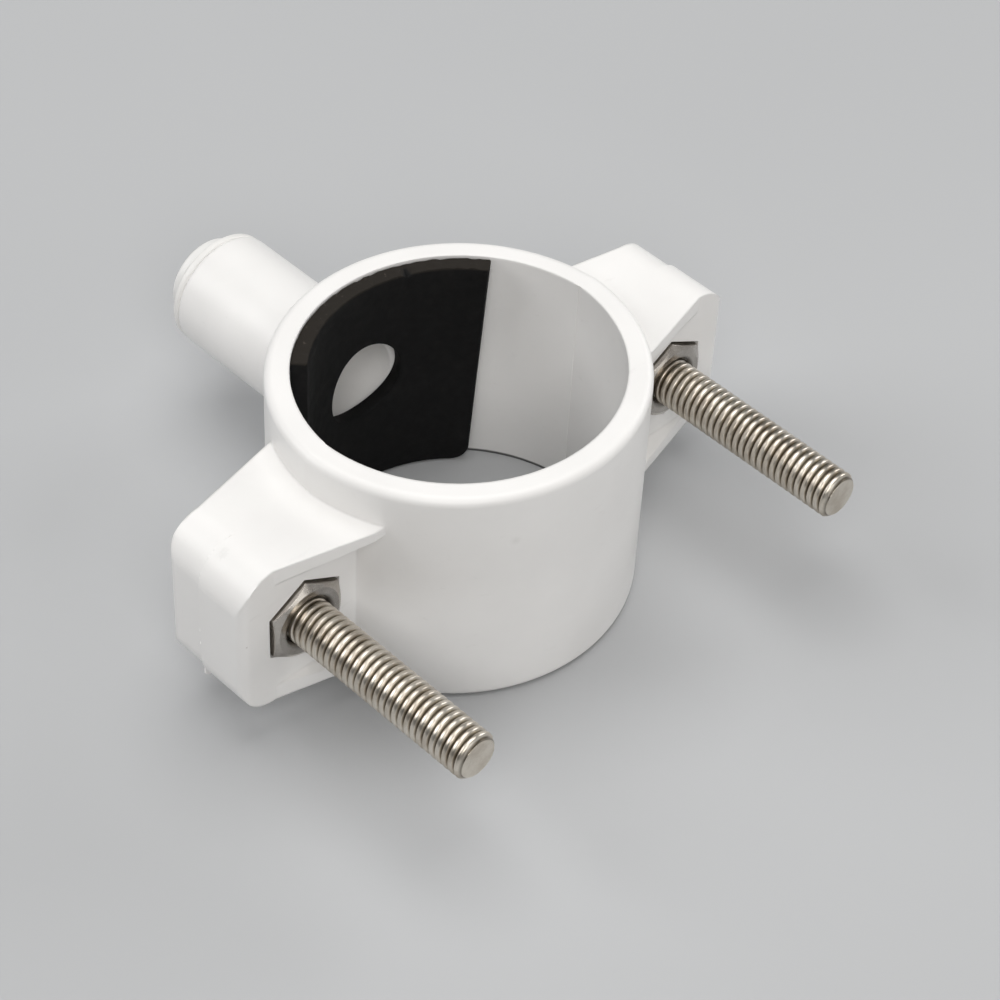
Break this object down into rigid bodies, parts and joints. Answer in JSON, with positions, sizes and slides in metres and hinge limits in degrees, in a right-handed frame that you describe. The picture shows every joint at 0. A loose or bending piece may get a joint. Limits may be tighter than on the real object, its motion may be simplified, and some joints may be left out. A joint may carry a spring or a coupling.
{
  "type": "tapping saddle",
  "caption": "Two-piece moulded clamp-on saddle that taps a drain pipe through a push-fit tube port, drawn together by long screws, with a rubber gasket.",
  "frame": {"origin": "on the pipe's axis, at the lower end of the ring", "axes": "+Z along the pipe, +Y along the port away from the pipe, X from ear to ear"},
  "size_m": [0.0786, 0.0812, 0.0325],
  "materials": {
    "shell_plastic": "satin white moulded plastic",
    "collet_plastic": "satin white moulded plastic",
    "inner_plastic": "plain white moulded plastic",
    "gasket_rubber": "matt black rubber with cut edges",
    "seal_rubber": "smooth black rubber",
    "screw_steel": "bright turned steel, slightly warm",
    "nut_steel": "bright pressed steel",
    "spring_steel": "thin bright spring steel"
  },
  "bodies": {
    "port": {"port_half": "shell_plastic", "gasket": "gasket_rubber", "o_ring": "seal_rubber", "spacer": "inner_plastic", "grab_ring": "spring_steel", "cartridge": "inner_plastic"},
    "clamp": {"clamp_half": "shell_plastic", "nut_left": "nut_steel", "nut_right": "nut_steel"},
    "left_screw": {"screw_left": "screw_steel"},
    "right_screw": {"screw_right": "screw_steel"},
    "release_collet": {"collet": "collet_plastic"}
  },
  "joints": [
    {"name": "clamp_open", "type": "slide", "parent": "port", "child": "clamp", "axis": [0, -1, 0], "range_m": [0, 0.028]},
    {"name": "left_screw_turn", "type": "hinge", "parent": "port", "child": "left_screw", "pos_m": [-0.03, 0, 0.0166], "axis": [0, 1, 0], "range_deg": [0, 10080]},
    {"name": "right_screw_turn", "type": "hinge", "parent": "port", "child": "right_screw", "pos_m": [0.03, 0, 0.0166], "axis": [0, 1, 0], "range_deg": [0, 10080]},
    {"name": "collet_press", "type": "slide", "parent": "port", "child": "release_collet", "axis": [0, -1, 0], "range_m": [0, 0.001], "stiffness_N_per_m": 500}
  ],
  "couplings": [
    {"joint": "left_screw_turn", "follows": "clamp_open", "rad_per_m": 6283.2},
    {"joint": "right_screw_turn", "follows": "clamp_open", "rad_per_m": 6283.2}
  ]
}
